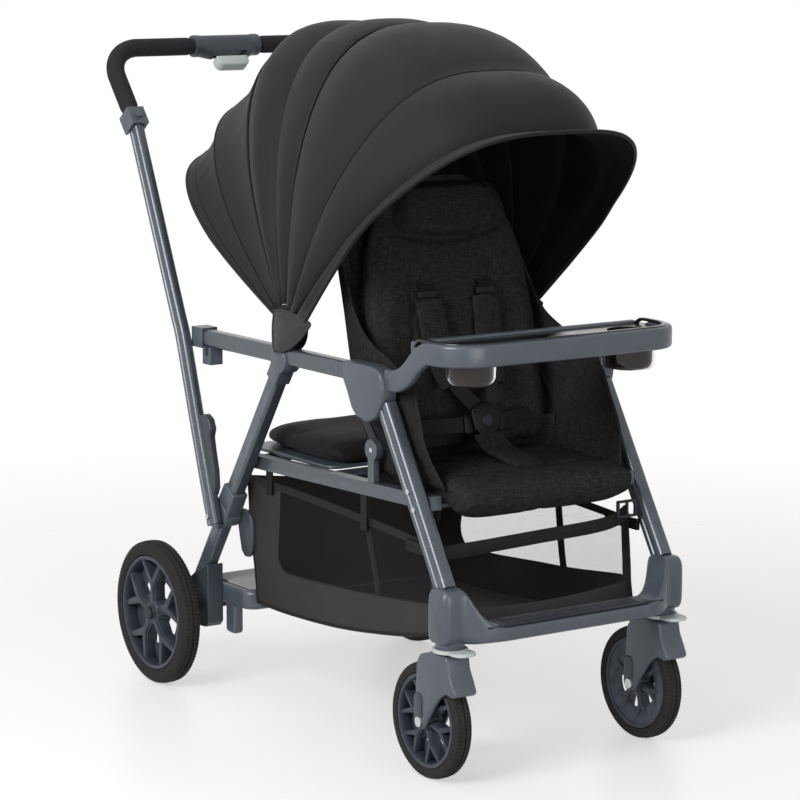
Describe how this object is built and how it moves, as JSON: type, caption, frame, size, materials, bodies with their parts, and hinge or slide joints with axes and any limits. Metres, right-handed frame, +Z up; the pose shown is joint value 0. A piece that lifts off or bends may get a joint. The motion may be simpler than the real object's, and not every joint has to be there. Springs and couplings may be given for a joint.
{
  "type": "tandem stroller",
  "caption": "Folding tandem stroller with a canopied front seat, child tray, rear bench, standing platform, mesh basket, swivel front casters and a U-shaped push handle.",
  "frame": {"origin": "on the ground in the middle of the overall length and width", "axes": "+Z up, the stroller faces -Y, X across"},
  "size_m": [0.5806, 1.0764, 1.1483],
  "materials": {
    "frame_paint": "satin slate paint",
    "slate_plastic": "fine grain",
    "dark_plastic": "fine grain",
    "pale_plastic": "fine grain",
    "smoke_plastic": "clear smoke",
    "foam": "soft foam",
    "tyre": "block tread",
    "steel": "satin",
    "charcoal_cloth": "tight weave",
    "heather_cloth": "heathered weave",
    "black_cloth": "ripstop and mesh"
  },
  "bodies": {
    "chassis": {"front_leg_left": "frame_paint", "front_leg_right": "frame_paint", "front_brackets": "slate_plastic", "armrest_left": "frame_paint", "armrest_right": "frame_paint", "armrest_caps": "slate_plastic", "strut_left": "frame_paint", "strut_right": "frame_paint", "strut_brackets": "slate_plastic", "fold_housings": "slate_plastic", "seat_frame": "frame_paint", "footrest": "slate_plastic", "footrest_grip": "dark_plastic", "recline_brackets": "slate_plastic", "rivets": "steel", "canopy_mounts": "dark_plastic", "bench_pan": "slate_plastic", "bench_pad": "heather_cloth", "seat_pad": "heather_cloth", "seat_wings": "heather_cloth", "basket": "black_cloth", "basket_clips": "dark_plastic", "harness": "black_cloth", "buckle": "dark_plastic", "canopy_rear": "charcoal_cloth"},
    "handle": {"handle_bar": "frame_paint", "handle_collars": "slate_plastic", "foam_grips": "foam", "handle_housing": "slate_plastic"},
    "release_lever": {"release_lever": "pale_plastic"},
    "fold_sliders": {"fold_sliders": "dark_plastic"},
    "fold_latch": {"fold_latches": "dark_plastic"},
    "rear_frame": {"rear_leg_left": "frame_paint", "rear_leg_right": "frame_paint", "rear_axle": "steel", "rear_posts": "dark_plastic", "platform": "slate_plastic", "platform_grip": "pale_plastic"},
    "canopy_middle": {"canopy_middle": "charcoal_cloth"},
    "canopy_front": {"canopy_front": "charcoal_cloth"},
    "backrest": {"backrest_frame": "dark_plastic", "backrest_pad": "heather_cloth"},
    "buckle_button": {"buckle_button": "dark_plastic"},
    "tray": {"tray_frame": "slate_plastic", "tray_insert": "dark_plastic", "cup_holders": "smoke_plastic"},
    "rear_wheel_left": {"rear_rim_left": "dark_plastic", "rear_tyre_left": "tyre"},
    "caster_left": {"fork_left": "dark_plastic", "axle_bolt_left": "steel"},
    "front_wheel_left": {"front_rim_left": "dark_plastic", "front_tyre_left": "tyre"},
    "swivel_lock_left": {"swivel_lock_left": "pale_plastic"},
    "rear_wheel_right": {"rear_rim_right": "dark_plastic", "rear_tyre_right": "tyre"},
    "caster_right": {"fork_right": "dark_plastic", "axle_bolt_right": "steel"},
    "front_wheel_right": {"front_rim_right": "dark_plastic", "front_tyre_right": "tyre"},
    "swivel_lock_right": {"swivel_lock_right": "pale_plastic"}
  },
  "joints": [
    {"name": "handle_fold", "type": "hinge", "parent": "chassis", "child": "handle", "pos_m": [0, 0.16582, 0.316], "axis": [-1, 0, 0], "range_deg": [-76, 0], "deforming": ["canopy_rear", "canopy_middle", "canopy_front"]},
    {"name": "rear_leg_fold", "type": "hinge", "parent": "chassis", "child": "rear_frame", "pos_m": [0, 0.16582, 0.316], "axis": [1, 0, 0], "range_deg": [-66.5, 0], "deforming": ["basket"]},
    {"name": "release_lever_pull", "type": "slide", "parent": "handle", "child": "release_lever", "axis": [0, 0.6308, 0.7759], "range_m": [0, 0.008], "stiffness_N_per_m": 400},
    {"name": "fold_slider_lift", "type": "slide", "parent": "handle", "child": "fold_sliders", "axis": [0, 0.3125, 0.9499], "range_m": [0, 0.014]},
    {"name": "fold_latch_turn", "type": "hinge", "parent": "chassis", "child": "fold_latch", "pos_m": [0, 0.17523, 0.30184], "axis": [1, 0, 0], "range_deg": [0, 18]},
    {"name": "canopy_close", "type": "hinge", "parent": "chassis", "child": "canopy_front", "pos_m": [0, -0.04918, 0.66], "axis": [-1, 0, 0], "range_deg": [0, 84], "deforming": ["canopy_rear", "canopy_middle", "canopy_front"]},
    {"name": "canopy_middle_close", "type": "hinge", "parent": "chassis", "child": "canopy_middle", "pos_m": [0, -0.04918, 0.66], "axis": [-1, 0, 0], "range_deg": [0, 42], "deforming": ["canopy_rear", "canopy_middle", "canopy_front"]},
    {"name": "recline", "type": "hinge", "parent": "chassis", "child": "backrest", "pos_m": [0, -0.25318, 0.487], "axis": [-1, 0, 0], "range_deg": [0, 20], "deforming": ["harness"]},
    {"name": "tray_pull", "type": "slide", "parent": "chassis", "child": "tray", "axis": [0, -1, 0], "range_m": [0, 0.07]},
    {"name": "buckle_press", "type": "slide", "parent": "chassis", "child": "buckle_button", "axis": [0, 0.9816, -0.1908], "range_m": [0, 0.003], "stiffness_N_per_m": 300},
    {"name": "rear_wheel_spin_left", "type": "hinge", "parent": "rear_frame", "child": "rear_wheel_left", "pos_m": [0.269, 0.30982, 0.125], "axis": [1, 0, 0], "continuous": true},
    {"name": "caster_swivel_left", "type": "hinge", "parent": "chassis", "child": "caster_left", "pos_m": [0.206, -0.48318, 0.22], "axis": [0, 0, 1], "continuous": true},
    {"name": "front_wheel_spin_left", "type": "hinge", "parent": "caster_left", "child": "front_wheel_left", "pos_m": [0.206, -0.43418, 0.0925], "axis": [1, 0, 0], "continuous": true},
    {"name": "swivel_lock_lift_left", "type": "slide", "parent": "chassis", "child": "swivel_lock_left", "axis": [0, 0, 1], "range_m": [0, 0.005]},
    {"name": "rear_wheel_spin_right", "type": "hinge", "parent": "rear_frame", "child": "rear_wheel_right", "pos_m": [-0.269, 0.30982, 0.125], "axis": [1, 0, 0], "continuous": true},
    {"name": "caster_swivel_right", "type": "hinge", "parent": "chassis", "child": "caster_right", "pos_m": [-0.206, -0.48318, 0.22], "axis": [0, 0, 1], "continuous": true},
    {"name": "front_wheel_spin_right", "type": "hinge", "parent": "caster_right", "child": "front_wheel_right", "pos_m": [-0.206, -0.43418, 0.0925], "axis": [1, 0, 0], "continuous": true},
    {"name": "swivel_lock_lift_right", "type": "slide", "parent": "chassis", "child": "swivel_lock_right", "axis": [0, 0, 1], "range_m": [0, 0.005]}
  ],
  "couplings": [
    {"joint": "rear_leg_fold", "follows": "handle_fold", "ratio": 0.875},
    {"joint": "fold_slider_lift", "follows": "release_lever_pull", "ratio": 1.75},
    {"joint": "fold_latch_turn", "follows": "release_lever_pull", "rad_per_m": 39},
    {"joint": "canopy_middle_close", "follows": "canopy_close", "ratio": 0.5}
  ]
}
